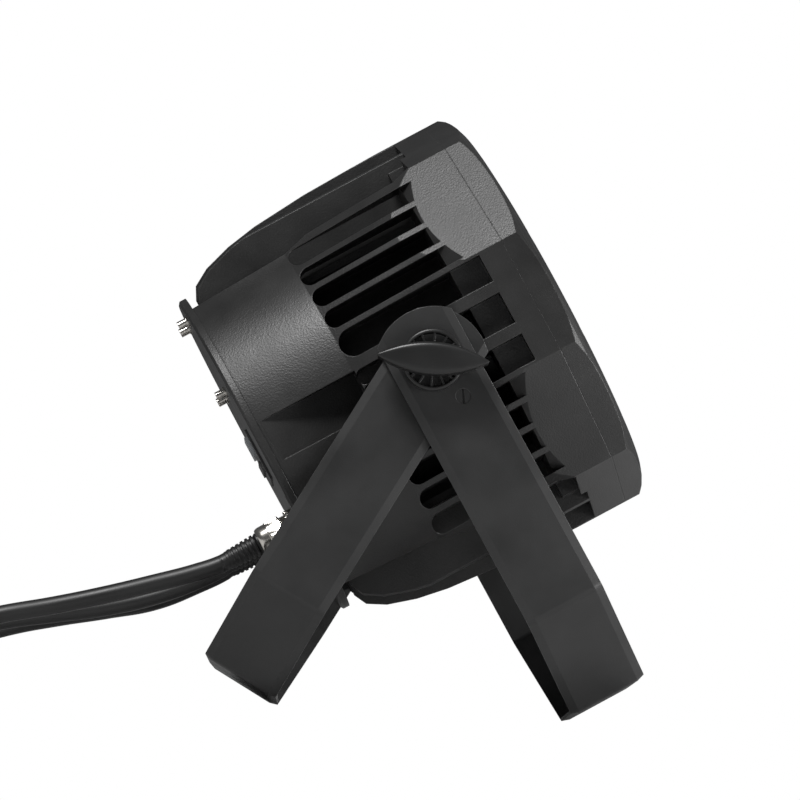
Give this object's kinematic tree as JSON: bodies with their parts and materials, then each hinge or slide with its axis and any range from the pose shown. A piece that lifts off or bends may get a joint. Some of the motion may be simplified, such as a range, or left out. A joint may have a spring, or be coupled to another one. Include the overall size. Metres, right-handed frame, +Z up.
{
  "type": "par can light",
  "caption": "Waterproof stage wash light in a finned black cast housing with a ten-sided rim, on two nested yokes that fold out as a floor stand, with short captive leads.",
  "frame": {"origin": "on the floor under the middle of the lamp and yokes", "axes": "+Z up, +X the way the beam points, +Y to the left of someone looking along the beam"},
  "size_m": [0.634, 0.3181, 0.3645],
  "materials": {
    "cast_housing": "textured black powder coat on die-cast aluminium",
    "cast_bezel": "textured black powder coat on die-cast aluminium",
    "cast_cover": "textured black powder coat on die-cast aluminium",
    "clear_glass": "clear toughened glass",
    "gasket": "matt silicone",
    "lens_plate": "matt black",
    "lens": "clear moulded acrylic",
    "led_board": "white solder mask",
    "supply_case": "folded sheet",
    "dark_screw": "blackened",
    "bright_screw": "nickel plated",
    "panel": "satin dark grey",
    "window": "clear over a grey display",
    "button": "satin grey",
    "gland": "nickel plated brass",
    "boot": "moulded black rubber",
    "lead": "black rubber sheath",
    "plug": "moulded black",
    "washer": "black fibre",
    "yoke": "fine black powder coat on steel",
    "knob": "satin black nylon",
    "stud": "zinc plated",
    "steel_washer": "zinc plated"
  },
  "bodies": {
    "lamp": {"housing": "cast_housing", "bezel": "cast_bezel", "front_glass": "clear_glass", "glass_gasket": "gasket", "lens_plate": "lens_plate", "lenses": "lens", "led_board": "led_board", "power_supply": "supply_case", "rear_cover": "cast_cover", "cover_gasket": "gasket", "cover_screws": "dark_screw", "bezel_screws": "dark_screw", "supply_screws": "bright_screw", "control_panel": "panel", "display_window": "window", "power_gland": "gland", "data_in_gland": "gland", "data_out_gland": "gland", "power_boot": "boot", "data_in_boot": "boot", "data_out_boot": "boot", "power_lead": "lead", "data_in_lead": "lead", "data_out_lead": "lead", "power_plug": "plug", "data_in_plug": "plug", "data_out_plug": "plug", "right_pivot_washer": "washer", "left_pivot_washer": "washer"},
    "outer_yoke": {"outer_yoke": "yoke", "yoke_lock_screws": "dark_screw"},
    "inner_yoke": {"inner_yoke": "yoke", "right_yoke_washer": "washer", "left_yoke_washer": "washer"},
    "right_knob": {"right_knob_grip": "knob", "right_knob_stud": "stud", "right_knob_washer": "steel_washer"},
    "left_knob": {"left_knob_grip": "knob", "left_knob_stud": "stud", "left_knob_washer": "steel_washer"},
    "menu_button": {"menu_button": "button"},
    "down_button": {"down_button": "button"},
    "up_button": {"up_button": "button"},
    "enter_button": {"enter_button": "button"}
  },
  "joints": [
    {"name": "outer_yoke_swing", "type": "hinge", "parent": "lamp", "child": "outer_yoke", "pos_m": [0.00863, 0, 0.20372], "axis": [0, 1, 0], "range_deg": [-150, 58]},
    {"name": "inner_yoke_swing", "type": "hinge", "parent": "lamp", "child": "inner_yoke", "pos_m": [0.00863, 0, 0.20372], "axis": [0, 1, 0], "range_deg": [-206, 8]},
    {"name": "right_knob_turn", "type": "hinge", "parent": "lamp", "child": "right_knob", "pos_m": [0.00863, 0, 0.20372], "axis": [0, -1, 0], "range_deg": [0, 360]},
    {"name": "left_knob_turn", "type": "hinge", "parent": "lamp", "child": "left_knob", "pos_m": [0.00863, 0, 0.20372], "axis": [0, 1, 0], "range_deg": [0, 360]},
    {"name": "menu_button_press", "type": "slide", "parent": "lamp", "child": "menu_button", "axis": [0.8526, 0, 0.5225], "range_m": [0, 0.001], "stiffness_N_per_m": 400, "springref_m": -0.002},
    {"name": "down_button_press", "type": "slide", "parent": "lamp", "child": "down_button", "axis": [0.8526, 0, 0.5225], "range_m": [0, 0.001], "stiffness_N_per_m": 400, "springref_m": -0.002},
    {"name": "up_button_press", "type": "slide", "parent": "lamp", "child": "up_button", "axis": [0.8526, 0, 0.5225], "range_m": [0, 0.001], "stiffness_N_per_m": 400, "springref_m": -0.002},
    {"name": "enter_button_press", "type": "slide", "parent": "lamp", "child": "enter_button", "axis": [0.8526, 0, 0.5225], "range_m": [0, 0.001], "stiffness_N_per_m": 400, "springref_m": -0.002}
  ]
}
